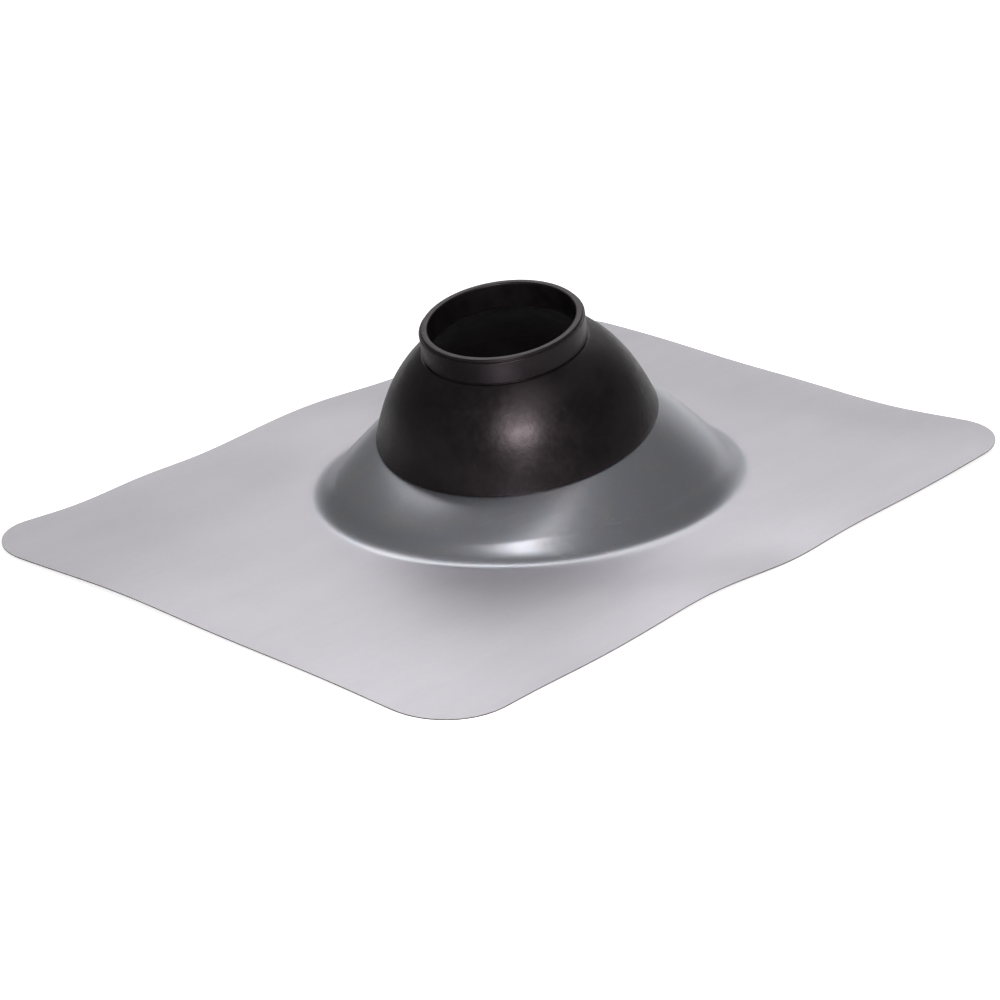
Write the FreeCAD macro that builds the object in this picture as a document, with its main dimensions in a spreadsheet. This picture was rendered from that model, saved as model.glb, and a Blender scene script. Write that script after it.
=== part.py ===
"""Pipe flashing boot: a drawn sheet-metal base with a moulded rubber boot gripping its rim.

Frame: millimetres, +Z up, +X along the sheet's length towards the eave, origin under the sheet's centre
at the height of its lowest point.
The boot leans towards the ridge (-X), so that a plumb pipe passes through it on a pitched roof.
"""
import FreeCAD, Part
import math
import os

import Sketcher

Vector = FreeCAD.Vector
Rotation = FreeCAD.Rotation
Placement = FreeCAD.Placement

# Driving sizes, in millimetres and degrees.
SIZES = {
    # sheet-metal base: the flat blank
    "sheet_length": 500.0,
    "sheet_width": 350.0,
    "sheet_corner": 40.0,
    "sheet_thickness": 0.6,
    # foot of the drawn cone: an ellipse on the flange, by its half axes
    "foot_long": 131.0,
    "foot_wide": 108.0,
    "foot_shift": 15.5,
    "foot_blend": 8.0,
    # wall of the drawn cone, up to the shoulder beside the rubber
    "wall_swell": 1.8,
    "shoulder_reach": 1.8,
    "shoulder_drop": 1.8,
    # rim of the drawn cone: a leaning collar that the rubber grips
    "rim_radius": 77.4,
    "rim_height": 41.0,
    "rim_shift": 1.5,
    "collar_height": 6.0,
    "collar_slope": 0.34,
    # rubber boot: heights are measured along its axis, from the rim's plane
    "boot_tilt": 12.0,
    "skirt_height": 13.1,
    "skirt_edge": 2.2,
    "skirt_taper": 5.43,
    "skirt_drop": 1.2,
    "inner_lip": 2.0,
    "dome_wall": 3.5,
    "neck_base": 49.9,
    "neck_height": 14.3,
    "neck_wall": 4.95,
    "neck_bore": 41.25,
    "root_groove": 0.9,
    "lip_step": 1.6,
    "lip_width": 3.8,
    "lip_bevel": 0.6,
    "seat_clearance": 0.3,
}

# Where the thin flange stands off the flat. Each bend has its place, as shares of the half length and
# the half width, its rise, and how far it spreads along and across the sheet, in millimetres.
BENDS = {
    "ridge_front_corner": (-1.0, -1.0, -4.5, 70.0, 70.0),
    "front_dip": (-0.56, -1.0, -2.5, 50.0, 60.0),
    "front_wave": (-0.2, -1.0, 2.0, 35.0, 50.0),
    "front_hollow": (0.12, -1.0, -3.0, 35.0, 50.0),
    "eave_front_corner": (1.0, -1.0, 4.5, 70.0, 70.0),
    "eave_dip": (1.0, -0.43, -3.5, 40.0, 60.0),
    "eave_hollow": (1.0, 0.17, -2.5, 50.0, 60.0),
    "eave_back_corner": (1.0, 1.0, -2.0, 60.0, 70.0),
    "back_hollow": (0.38, 1.0, -3.0, 45.0, 60.0),
    "back_wave": (0.04, 1.0, 1.5, 40.0, 60.0),
    "back_dip": (-0.32, 1.0, -3.0, 45.0, 60.0),
    "back_low": (-0.68, 1.0, -4.0, 45.0, 60.0),
    "ridge_bow": (-1.0, 0.34, 3.0, 60.0, 60.0),
}

# The boot's section: radius and height of each corner, anticlockwise from the skirt's outer foot. A plain
# name is a driving size, and one with _radius, _height or _sink is a cell worked out before it.
SECTION = {
    "collar_wall": "sizes.sheet_thickness * sqrt(1 + sizes.collar_slope ^ 2)",
    "groove_depth": "sizes.collar_height + sizes.seat_clearance",
    "skirt_foot_radius": "sizes.rim_radius + sizes.seat_clearance + sizes.skirt_edge",
    "skirt_foot_height": "-sizes.skirt_drop",
    "skirt_top_radius": "skirt_foot_radius - sizes.skirt_taper",
    "skirt_top_height": "sizes.skirt_height",
    "band_foot_radius": "sizes.neck_bore + sizes.neck_wall",
    # The dome is an arc about a centre on the axis, from the skirt's top through the neck's base.
    "dome_sink": "(skirt_top_radius ^ 2 + skirt_top_height ^ 2 - band_foot_radius ^ 2"
                 " - sizes.neck_base ^ 2) / (2 * (sizes.neck_base - skirt_top_height))",
    "dome_radius": "sqrt(skirt_top_radius ^ 2 + (skirt_top_height + dome_sink) ^ 2)",
    # A groove parts the dome from the neck's band, and a step parts the band from the lip.
    "dome_brink_radius": "band_foot_radius + sizes.root_groove",
    "dome_brink_height": "sqrt(dome_radius ^ 2 - dome_brink_radius ^ 2) - dome_sink",
    "root_floor_radius": "band_foot_radius - sizes.root_groove",
    "root_floor_height": "dome_brink_height",
    "band_foot_height": "dome_brink_height + sizes.root_groove",
    "band_top_radius": "band_foot_radius",
    "band_top_height": "lip_outer_height - sizes.lip_step",
    "lip_foot_radius": "lip_outer_radius",
    "lip_foot_height": "band_top_height",
    "lip_outer_radius": "sizes.neck_bore + sizes.lip_width",
    "lip_outer_height": "sizes.neck_base + sizes.neck_height",
    "lip_inner_radius": "sizes.neck_bore",
    "lip_inner_height": "lip_outer_height",
    "bore_root_radius": "sizes.neck_bore",
    "bore_root_height": "sqrt((dome_radius - sizes.dome_wall) ^ 2 - sizes.neck_bore ^ 2) - dome_sink",
    "inner_top_radius": "sqrt((dome_radius - sizes.dome_wall) ^ 2 - (inner_top_height + dome_sink) ^ 2)",
    "inner_top_height": "sizes.skirt_height",
    "inner_foot_radius": "groove_lead_radius - sizes.inner_lip",
    "inner_foot_height": "-sizes.inner_lip",
    "groove_lead_radius": "sizes.rim_radius - collar_wall - sizes.seat_clearance",
    "groove_lead_height": "-sizes.inner_lip",
    "groove_inner_radius": "groove_lead_radius - sizes.collar_slope * groove_depth",
    "groove_inner_height": "groove_depth",
    "groove_outer_radius": "groove_mouth_radius - sizes.collar_slope * groove_depth",
    "groove_outer_height": "groove_depth",
    "groove_mouth_radius": "sizes.rim_radius + sizes.seat_clearance",
    "groove_mouth_height": "0",
    "skirt_under_radius": "groove_mouth_radius + sizes.skirt_edge / 3",
    "skirt_under_height": "-sizes.skirt_drop",
}
CORNERS = ("skirt_foot", "skirt_top", "dome_brink", "root_floor", "band_foot", "band_top", "lip_foot",
           "lip_outer", "lip_inner", "bore_root", "inner_top", "inner_foot", "groove_lead",
           "groove_inner", "groove_outer", "groove_mouth", "skirt_under")
# The corners that start an arc about the dome's centre; every other side of the section is straight.
DOME_ARCS = ("skirt_top", "bore_root")
# The corners that end one, and the place that the arc itself gives them.
LEFT_TO_ARC = {"dome_brink": "height", "inner_top": "radius"}

RING_POLES = 48        # control points once round the cone
WALL_RINGS = ((0.35, 0.8), (0.68, 1.0))    # each ring's way down the wall, and its share of the swell
FLANGE_RINGS = 3       # rings of control points across the flange
OVERSIZE = 20.0        # how far the drawn surface runs past the blank before it is trimmed
CORNER_POWER = 6       # squareness of the drawn surface's outer ring
BEND_FADE = 0.5        # share of the foot's size over which the bends fade out towards the cone


def sizes_sheet(doc):
    """Put every driving size into a spreadsheet, each under its own name."""
    sheet = doc.addObject("Spreadsheet::Sheet", "sizes")
    cells = list(SIZES.items()) + [(name, bend[2]) for name, bend in BENDS.items()]
    for row, (name, value) in enumerate(cells, start=1):
        sheet.set(f"A{row}", name)
        sheet.set(f"B{row}", str(value))
        sheet.setAlias(f"B{row}", name)
    doc.recompute()
    return sheet


def section_sheet(doc):
    """Work out the boot's section from the driving sizes, one named cell to a radius or a height."""
    sheet = doc.addObject("Spreadsheet::Sheet", "section")
    for row, name in enumerate(SECTION, start=1):
        sheet.set(f"A{row}", name)
        sheet.setAlias(f"B{row}", name)
    for row, formula in enumerate(SECTION.values(), start=1):
        sheet.set(f"B{row}", "=" + formula)
    doc.recompute()
    return sheet


def origin_plane(body, role):
    """The body's own origin plane with this role."""
    return next(feature for feature in body.Origin.OriginFeatures if feature.Role == role)


def new_sketch(body, name, role):
    """A sketch on one of the body's own origin planes."""
    sketch = body.newObject("Sketcher::SketchObject", name)
    sketch.AttachmentSupport = (origin_plane(body, role), [""])
    sketch.MapMode = "FlatFace"
    return sketch


def hold(sketch, constraint, label, expression):
    """Add a named constraint whose value follows an expression."""
    index = sketch.addConstraint(constraint)
    sketch.renameConstraint(index, label)
    sketch.setExpression(f"Constraints.{label}", expression)


def hold_across(sketch, geometry, point, label, expression):
    """Hold a point's distance from the sketch's upright axis."""
    value = sketch.getPoint(geometry, point).x
    hold(sketch, Sketcher.Constraint("DistanceX", -1, 1, geometry, point, value), label, expression)


def hold_up(sketch, geometry, point, label, expression):
    """Hold a point's distance from the sketch's level axis."""
    value = sketch.getPoint(geometry, point).y
    hold(sketch, Sketcher.Constraint("DistanceY", -1, 1, geometry, point, value), label, expression)


def blank_prism(doc):
    """The flat blank's outline, a rectangle with round corners, as a tall prism."""
    body = doc.addObject("PartDesign::Body", "blank")
    sketch = new_sketch(body, "blank_outline", "XY_Plane")
    corner = SIZES["sheet_corner"]
    centre_x = SIZES["sheet_length"] / 2 - corner
    centre_y = SIZES["sheet_width"] / 2 - corner
    # Four corner arcs, anticlockwise from the front corner at the eave, then the side after each.
    for k, (x, y) in enumerate(((1, -1), (1, 1), (-1, 1), (-1, -1))):
        circle = Part.Circle(Vector(x * centre_x, y * centre_y, 0), Vector(0, 0, 1), corner)
        start = (k - 1) * math.pi / 2
        sketch.addGeometry(Part.ArcOfCircle(circle, start, start + math.pi / 2), False)
    for k in range(4):
        ends = sketch.getPoint(k, 2), sketch.getPoint((k + 1) % 4, 1)
        side = sketch.addGeometry(Part.LineSegment(*ends), False)
        sketch.addConstraint(Sketcher.Constraint("Tangent", k, 2, side, 1))
        sketch.addConstraint(Sketcher.Constraint("Tangent", side, 2, (k + 1) % 4, 1))
        sketch.addConstraint(Sketcher.Constraint("Horizontal" if k % 2 else "Vertical", side))
    for k in (1, 2, 3):
        sketch.addConstraint(Sketcher.Constraint("Equal", 0, k))
    hold(sketch, Sketcher.Constraint("Radius", 0, corner), "corner", "sizes.sheet_corner")
    hold_across(sketch, 0, 3, "eave_side", "sizes.sheet_length / 2 - sizes.sheet_corner")
    hold_up(sketch, 1, 3, "back_side", "sizes.sheet_width / 2 - sizes.sheet_corner")
    hold_across(sketch, 2, 3, "ridge_side", "sizes.sheet_corner - sizes.sheet_length / 2")
    hold_up(sketch, 3, 3, "front_side", "sizes.sheet_corner - sizes.sheet_width / 2")
    pad = body.newObject("PartDesign::Pad", "blank_pad")
    pad.Profile = sketch
    pad.Midplane = True
    pad.setExpression("Length", "6 * sizes.rim_height")
    return body


def bend_rise(x, y, size):
    """Height of the flange above the flat at a place: bell-shaped bends that fade out at the cone's foot."""
    from_foot = math.hypot((x - size["foot_shift"]) / size["foot_long"], y / size["foot_wide"]) - 1
    share = min(max(from_foot / BEND_FADE, 0.0), 1.0)
    fade = share * share * (3 - 2 * share)
    rise = 0.0
    for name, (along, across, _, spread_along, spread_across) in BENDS.items():
        off_x = (x - along * size["sheet_length"] / 2) / spread_along
        off_y = (y - across * size["sheet_width"] / 2) / spread_across
        rise += size[name] * math.exp(-off_x ** 2 - off_y ** 2)
    return rise * fade


def drawn_net(size):
    """Control points of the sheet's upper surface, ring by ring from the collar's edge to past the blank.

    Each ring is followed once round at equal angles. A cubic through such points falls a little inside
    them, so the rings are drawn larger by the share that puts the surface at its true size.
    """
    step = 2 * math.pi / RING_POLES
    gain = 3 / (2 + math.cos(step))
    tilt = math.radians(size["boot_tilt"])
    axis = Vector(-math.sin(tilt), 0, math.cos(tilt))
    level = Vector(math.cos(tilt), 0, math.sin(tilt))
    centre = Vector(size["rim_shift"], 0, size["rim_height"])
    half_length = size["sheet_length"] / 2 + OVERSIZE
    half_width = size["sheet_width"] / 2 + OVERSIZE
    collar = [size["collar_height"] * share for share in (1.0, 0.6, 0.2, -0.2)]
    columns = []
    for k in range(RING_POLES):
        across, back = gain * math.cos(k * step), gain * math.sin(k * step)

        def ring(radius, height):
            return centre + level * (radius * across) + Vector(0, radius * back, 0) + axis * height

        foot = Vector(size["foot_shift"] + size["foot_long"] * across, size["foot_wide"] * back, 0)
        outward = Vector(across / size["foot_long"], back / size["foot_wide"], 0).normalize()
        shoulder = ring(size["rim_radius"] + size["shoulder_reach"], -size["shoulder_drop"])
        rise = (shoulder - foot).normalize()
        proud = Vector(rise).cross(outward).cross(rise).normalize()
        column = [ring(size["rim_radius"] - size["collar_slope"] * height, height) for height in collar]
        column.append(shoulder)
        for way, fullness in WALL_RINGS:
            column.append(shoulder + (foot - shoulder) * way + proud * (size["wall_swell"] * fullness))
        column += [foot + rise * size["foot_blend"], foot, foot + outward * size["foot_blend"]]
        # The outer ring is a squarish oval round the blank, met along the foot's own direction.
        heading = math.atan2(foot.y, foot.x)
        squareness = (abs(math.cos(heading)) / half_length) ** CORNER_POWER
        squareness += (abs(math.sin(heading)) / half_width) ** CORNER_POWER
        reach = squareness ** (-1 / CORNER_POWER)
        edge = Vector(reach * math.cos(heading), reach * math.sin(heading), 0)
        start = column[-1]
        for ring_number in range(1, FLANGE_RINGS + 1):
            place = start + (edge - start) * (ring_number / FLANGE_RINGS)
            column.append(place + Vector(0, 0, bend_rise(place.x, place.y, size)))
        columns.append(column)
    return columns


def ring_surface(columns):
    """A surface closed round the boot, through rings of control points: cubic, or straight between two."""
    rings = len(columns[0])
    degree = min(3, rings - 1)
    inner = rings - degree - 1
    surface = Part.BSplineSurface()
    surface.buildFromPolesMultsKnots(
        columns,
        [1] * (RING_POLES + 1), [degree + 1] + [1] * inner + [degree + 1],
        list(range(RING_POLES + 1)), list(range(inner + 2)),
        True, False, 3, degree)
    return surface


def drawn_sheet(doc, sheet):
    """The sheet's upper surface given its thickness downwards, still running past the blank.

    Each control point of the under surface lies one thickness below its twin, square to the upper surface.
    """
    size = {name: float(sheet.get(name)) for name in list(SIZES) + list(BENDS)}
    upper = drawn_net(size)
    surface = ring_surface(upper)
    lower = []
    for column in upper:
        down = [surface.normal(*surface.parameter(pole)) for pole in column]
        down = [normal * (-math.copysign(1.0, normal.z)) for normal in down]
        lower.append([pole + normal * size["sheet_thickness"] for pole, normal in zip(column, down)])
    walls = [surface, ring_surface(lower)]
    for edge in (0, -1):
        walls.append(ring_surface([[above[edge], below[edge]] for above, below in zip(upper, lower)]))
    shell = Part.Shell([wall.toShape() for wall in walls])
    shell.sewShape()
    feature = doc.addObject("Part::Feature", "drawn_sheet")
    feature.Shape = Part.Solid(shell)
    if feature.Shape.Volume < 0:
        feature.Shape = feature.Shape.reversed()
    return feature


def base_sheet(doc, sheet):
    """The galvanised base: the drawn sheet trimmed to the blank's outline."""
    trimmed = doc.addObject("Part::MultiCommon", "base_sheet")
    trimmed.Shapes = [drawn_sheet(doc, sheet), blank_prism(doc)]
    return trimmed


def boot_section(body, places):
    """The rubber's section, right of its axis: straight sides, and two arcs about the dome's centre."""
    sketch = new_sketch(body, "boot_section", "XZ_Plane")
    corner = {name: Vector(float(places.get(name + "_radius")), float(places.get(name + "_height")), 0)
              for name in CORNERS}
    centre = Vector(0, -float(places.get("dome_sink")), 0)
    for name, following in zip(CORNERS, CORNERS[1:] + CORNERS[:1]):
        first, second = corner[name], corner[following]
        if name in DOME_ARCS:
            spoke = first - centre
            angles = sorted(math.atan2(p.y - centre.y, p.x) for p in (first, second))
            circle = Part.Circle(centre, Vector(0, 0, 1), spoke.Length)
            sketch.addGeometry(Part.ArcOfCircle(circle, *angles), False)
        else:
            sketch.addGeometry(Part.LineSegment(first, second), False)
    for k, name in enumerate(CORNERS):
        after = (k + 1) % len(CORNERS)
        # An arc runs anticlockwise, so the inner one starts at its lower corner.
        end = 1 if name == "bore_root" else 2
        start = 2 if CORNERS[after] == "bore_root" else 1
        sketch.addConstraint(Sketcher.Constraint("Coincident", k, end, after, start))
    for k, name in enumerate(CORNERS):
        start = 2 if name == "bore_root" else 1
        if name in DOME_ARCS:
            hold_up(sketch, k, 3, name + "_centre", "-section.dome_sink")
            sketch.addConstraint(Sketcher.Constraint("PointOnObject", k, 3, -2))
        if LEFT_TO_ARC.get(name) != "radius":
            hold_across(sketch, k, start, name + "_across", f"section.{name}_radius")
        if LEFT_TO_ARC.get(name) != "height":
            hold_up(sketch, k, start, name + "_up", f"section.{name}_height")
    return sketch


def circle_edges(shape, radius, height):
    """Names of the shape's round edges about its axis at this radius and height."""
    found = []
    for number, edge in enumerate(shape.Edges, start=1):
        curve = edge.Curve
        if isinstance(curve, Part.Circle) and abs(curve.Radius - radius) < 0.01:
            if abs(curve.Center.z - height) < 0.01:
                found.append(f"Edge{number}")
    return found


def bevelled(doc, body, corner, places):
    """Bevel one corner of the boot's lip, all the way round."""
    base = body.Tip
    radius = float(places.get(corner + "_radius"))
    height = float(places.get(corner + "_height"))
    bevel = body.newObject("PartDesign::Chamfer", corner + "_bevel")
    bevel.Base = (base, circle_edges(base.Shape, radius, height))
    bevel.setExpression("Size", "sizes.lip_bevel")
    body.Tip = bevel
    doc.recompute()


def rubber_boot(doc, places):
    """The moulded boot: its section turned about its axis, with the lip's two edges bevelled."""
    body = doc.addObject("PartDesign::Body", "rubber_boot")
    sketch = boot_section(body, places)
    turned = body.newObject("PartDesign::Revolution", "boot_revolution")
    turned.Profile = sketch
    turned.ReferenceAxis = (sketch, ["V_Axis"])
    turned.Angle = 360
    doc.recompute()
    for corner in ("lip_outer", "lip_inner"):
        bevelled(doc, body, corner, places)
    return body


def check(doc, parts):
    """Stop if any object failed, or if a part's shape is empty or broken."""
    for item in doc.Objects:
        if {"Invalid", "Error"} & set(item.State):
            raise RuntimeError(f"{item.Name} failed: {item.State}")
    for item in parts:
        shape = item.Shape
        if shape.isNull() or not shape.isValid() or len(shape.Solids) != 1:
            raise RuntimeError(f"{item.Label} has no sound single solid")


def main():
    doc = FreeCAD.newDocument("pipe_flashing_boot")
    sheet = sizes_sheet(doc)
    places = section_sheet(doc)
    base = base_sheet(doc, sheet)
    boot = rubber_boot(doc, places)
    doc.recompute()
    parts = (base, boot)
    check(doc, parts)

    # Both pieces are lifted together, so that the flange's lowest point stands at height zero.
    lift = -base.Shape.optimalBoundingBox(False, False).ZMin
    base.Placement = Placement(Vector(0, 0, lift), Rotation())
    boot.Placement = Placement(Vector(SIZES["rim_shift"], 0, SIZES["rim_height"] + lift),
                               Rotation(Vector(0, 1, 0), -SIZES["boot_tilt"]))
    doc.recompute()
    check(doc, parts)

    os.makedirs("parts", exist_ok=True)
    for item in parts:
        item.Shape.exportStep(os.path.join("parts", item.Label + ".step"))
        box = item.Shape.optimalBoundingBox(False, False)
        print(item.Label, "volume", round(item.Shape.Volume), "faces", len(item.Shape.Faces),
              "box", [round(v, 2) for v in (box.XMin, box.YMin, box.ZMin, box.XMax, box.YMax, box.ZMax)])


main()
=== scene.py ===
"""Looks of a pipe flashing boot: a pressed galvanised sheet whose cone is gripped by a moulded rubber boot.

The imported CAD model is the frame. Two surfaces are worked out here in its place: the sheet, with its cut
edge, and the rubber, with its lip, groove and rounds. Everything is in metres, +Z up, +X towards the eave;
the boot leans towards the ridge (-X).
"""

import logging
import math
from dataclasses import dataclass
from enum import Enum, IntEnum

import bpy
import numpy as np
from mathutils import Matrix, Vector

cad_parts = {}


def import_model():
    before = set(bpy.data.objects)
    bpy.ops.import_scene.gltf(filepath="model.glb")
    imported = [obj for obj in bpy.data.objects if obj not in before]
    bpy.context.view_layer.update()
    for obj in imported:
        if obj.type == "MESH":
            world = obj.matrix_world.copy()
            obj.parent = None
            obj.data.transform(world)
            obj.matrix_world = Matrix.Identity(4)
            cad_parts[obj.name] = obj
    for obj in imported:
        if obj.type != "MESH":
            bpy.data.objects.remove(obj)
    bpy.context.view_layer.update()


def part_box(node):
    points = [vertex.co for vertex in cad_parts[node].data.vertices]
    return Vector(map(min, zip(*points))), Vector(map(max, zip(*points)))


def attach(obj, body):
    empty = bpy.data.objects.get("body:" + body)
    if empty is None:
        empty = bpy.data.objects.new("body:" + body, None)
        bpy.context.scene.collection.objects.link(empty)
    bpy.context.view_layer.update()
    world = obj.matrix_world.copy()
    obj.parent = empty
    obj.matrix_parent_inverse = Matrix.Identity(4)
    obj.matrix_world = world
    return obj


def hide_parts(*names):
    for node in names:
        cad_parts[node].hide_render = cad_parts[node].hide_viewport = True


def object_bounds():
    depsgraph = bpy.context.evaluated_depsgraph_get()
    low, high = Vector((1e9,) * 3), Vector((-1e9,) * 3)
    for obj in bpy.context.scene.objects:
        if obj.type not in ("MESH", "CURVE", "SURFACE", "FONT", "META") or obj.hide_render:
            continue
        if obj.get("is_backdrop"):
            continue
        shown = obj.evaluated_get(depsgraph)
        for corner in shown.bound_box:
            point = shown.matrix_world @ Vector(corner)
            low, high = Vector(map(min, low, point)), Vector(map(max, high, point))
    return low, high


LOG = logging.getLogger("flashing_boot")
BODY = "root"
MM = 0.001
TINY = 1e-9
WHITE = (1.0, 1.0, 1.0, 1.0)

Socket = bpy.types.NodeSocket
Colour = tuple[float, float, float, float]
Triple = tuple[float, float, float]


class SheetFace(IntEnum):
    """Which finish a face of the sheet takes: its place among the sheet's material slots."""

    ZINC = 0
    CUT_EDGE = 1


class Loop(Enum):
    """How a grid of points is joined along one of its directions."""

    OPEN = "open"
    CLOSED = "closed"


# ---- Shapes as whole arrays ----


def share_of(part: np.ndarray, whole: np.ndarray) -> np.ndarray:
    """The part over the whole, and zero where there is no whole."""
    return np.where(whole > 0.0, part / np.where(whole > 0.0, whole, 1.0), 0.0)


def cubic_weights(poles: int, places: np.ndarray) -> np.ndarray:
    """Weights of a clamped cubic spline's control points, with knots one apart.

    Each weight of degree d is a blend of two neighbours of degree d - 1, by the place's share of the
    knots that they span; the last knots are taken from below, so that the last place is reached.

    Args:
        poles: number of control points.
        places: places along the spline, from 0 to poles - 3.

    Returns:
        An array of one row per place and one column per control point.
    """
    degree = 3
    spans = poles - degree
    knots = np.concatenate([np.zeros(degree), np.arange(spans + 1), np.full(degree, spans)]).astype(float)
    inside = np.clip(places, 0.0, spans - TINY)[:, None]
    weights = ((inside >= knots[None, :-1]) & (inside < knots[None, 1:])).astype(float)
    for order in range(1, degree + 1):
        count = len(knots) - order - 1
        low, high = knots[:count], knots[order:order + count]
        next_low, next_high = knots[1:count + 1], knots[order + 1:order + 1 + count]
        rising = share_of(inside - low, high - low)
        falling = share_of(next_high - inside, next_high - next_low)
        weights = rising * weights[:, :count] + falling * weights[:, 1:count + 1]
    return weights


def unit(vectors: np.ndarray) -> np.ndarray:
    """The vectors at length one, along the last axis."""
    return vectors / np.linalg.norm(vectors, axis=-1, keepdims=True)


def smooth_step(share: np.ndarray) -> np.ndarray:
    """Zero below 0, one above 1, and 3 s^2 - 2 s^3 between."""
    share = np.clip(share, 0.0, 1.0)
    return share * share * (3.0 - 2.0 * share)


def grid_quads(rows: int, columns: int, across: Loop, start: int = 0) -> np.ndarray:
    """Faces of a grid of points whose rows are closed rings.

    Args:
        rows: number of rings.
        columns: points in each ring.
        across: whether the last ring is joined to the first.
        start: index of the grid's first point.

    Returns:
        One row of four point indices per face, turning from ring to ring and then along the ring.
    """
    steps = rows if across is Loop.CLOSED else rows - 1
    row = np.arange(steps)[:, None]
    column = np.arange(columns)[None, :]
    after, beside = (row + 1) % rows, (column + 1) % columns
    corners = [row * columns + column, after * columns + column,
               after * columns + beside, row * columns + beside]
    return start + np.stack([np.broadcast_to(c, (steps, columns)) for c in corners], axis=-1).reshape(-1, 4)


def make_piece(name: str, points: np.ndarray, quads: np.ndarray, faces: np.ndarray | None = None,
               creases: np.ndarray | None = None) -> bpy.types.Object:
    """Turn points and four-sided faces into a smooth-shaded piece at the origin.

    Args:
        name: the piece's name.
        points: one point per row, in metres.
        quads: four point indices per face.
        faces: material index of each face, or None for one finish.
        creases: number of the crease line that each point lies on, or -1; an edge between two points
            of one line stays sharp.

    Returns:
        The new object, linked to the scene.
    """
    count, sides = quads.shape
    mesh = bpy.data.meshes.new(name)
    mesh.vertices.add(len(points))
    mesh.vertices.foreach_set("co", points.astype(np.float32).ravel())
    mesh.loops.add(quads.size)
    mesh.loops.foreach_set("vertex_index", quads.astype(np.int32).ravel())
    mesh.polygons.add(count)
    mesh.polygons.foreach_set("loop_start", np.arange(0, quads.size, sides, dtype=np.int32))
    mesh.polygons.foreach_set("loop_total", np.full(count, sides, dtype=np.int32))
    mesh.update(calc_edges=True)
    mesh.polygons.foreach_set("use_smooth", np.ones(count, dtype=bool))
    if faces is not None:
        mesh.polygons.foreach_set("material_index", faces.astype(np.int32))
    if creases is not None:
        ends = np.zeros(len(mesh.edges) * 2, dtype=np.int32)
        mesh.edges.foreach_get("vertices", ends)
        lines = creases[ends.reshape(-1, 2)]
        sharp = (lines[:, 0] >= 0) & (lines[:, 0] == lines[:, 1])
        mesh.attributes.new("sharp_edge", "BOOLEAN", "EDGE").data.foreach_set("value", sharp)
    mesh.validate()
    piece = bpy.data.objects.new(name, mesh)
    bpy.context.scene.collection.objects.link(piece)
    return piece


# ---- Node helpers and the effects that finishes share ----


class Nodes:
    """A node tree that is filled one node at a time, with its links made as the nodes are."""

    def __init__(self, tree: bpy.types.NodeTree) -> None:
        """Keep the tree and start from an empty one."""
        self.tree = tree
        tree.nodes.clear()

    def feed(self, socket: Socket, value: object) -> None:
        """Feed an input socket.

        Args:
            socket: the input.
            value: the output socket to link to it, or else its own value.
        """
        if isinstance(value, Socket):
            self.tree.links.new(value, socket)
        else:
            socket.default_value = value

    def dress(self, node: bpy.types.Node, inputs: dict) -> None:
        """Feed several inputs of a node, each by its name or number."""
        for key, value in inputs.items():
            self.feed(node.inputs[key], value)

    def add(self, kind: str, inputs: dict | None = None, **settings: object) -> bpy.types.Node:
        """Add a node.

        Args:
            kind: the node's type name, without its ShaderNode prefix where it has one.
            inputs: input name or number to the value, or the output socket, that feeds it.
            **settings: attributes of the node itself.

        Returns:
            The new node.
        """
        full = kind if kind.startswith("NodeGroup") else "ShaderNode" + kind
        node = self.tree.nodes.new(full)
        for name, value in settings.items():
            setattr(node, name, value)
        self.dress(node, inputs or {})
        return node

    def noise(self, place: Socket, per_metre: object, **inputs: float) -> Socket:
        """Add a noise texture with so many waves to a metre, and return its value, about 0.5 on the whole."""
        return self.add("TexNoise", {"Vector": place, "Scale": per_metre, **inputs}).outputs[0]

    def ranged(self, value: Socket, low: float, high: float, out_low: float = 0.0,
               out_high: float = 1.0) -> Socket:
        """Turn a value smoothly from out_low at low to out_high at high, and hold it level beyond them."""
        inputs = dict(enumerate((value, low, high, out_low, out_high)))
        return self.add("MapRange", inputs, interpolation_type="SMOOTHSTEP").outputs[0]

    def maths(self, operation: str, *values: object) -> Socket:
        """One sum on numbers or sockets, and its result."""
        return self.add("Math", dict(enumerate(values)), operation=operation).outputs[0]

    def stretched(self, place: Socket, stretch: object) -> Socket:
        """The place with each of its coordinates times its own share."""
        return self.add("VectorMath", {0: place, 1: stretch}, operation="MULTIPLY").outputs[0]

    def blended(self, share: object, first: object, second: object) -> Socket:
        """Mix two colours.

        Args:
            share: share of the second colour.
            first: a colour, or the socket that gives it.
            second: another.

        Returns:
            The mixed colour.
        """
        node = self.add("Mix", data_type="RGBA")
        sockets = {socket.identifier: socket for socket in (*node.inputs, *node.outputs)}
        for key, value in (("Factor_Float", share), ("A_Color", first), ("B_Color", second)):
            self.feed(sockets[key], value)
        return sockets["Result_Color"]


def new_group(name: str, inputs: dict[str, str], outputs: dict[str, str]) -> tuple[Nodes, dict[str, Socket]]:
    """Start a shader node group with named sockets.

    Args:
        name: the group's name.
        inputs: input names, each with its socket type: Float or Vector.
        outputs: output names, in the same way.

    Returns:
        The group's nodes, and its input sockets by name.
    """
    tree = bpy.data.node_groups.new(name, "ShaderNodeTree")
    for sockets, way in ((inputs, "INPUT"), (outputs, "OUTPUT")):
        for socket, kind in sockets.items():
            tree.interface.new_socket(socket, in_out=way, socket_type="NodeSocket" + kind)
    nodes = Nodes(tree)
    entry = nodes.add("NodeGroupInput")
    return nodes, {socket.name: socket for socket in entry.outputs if socket.name}


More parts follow.
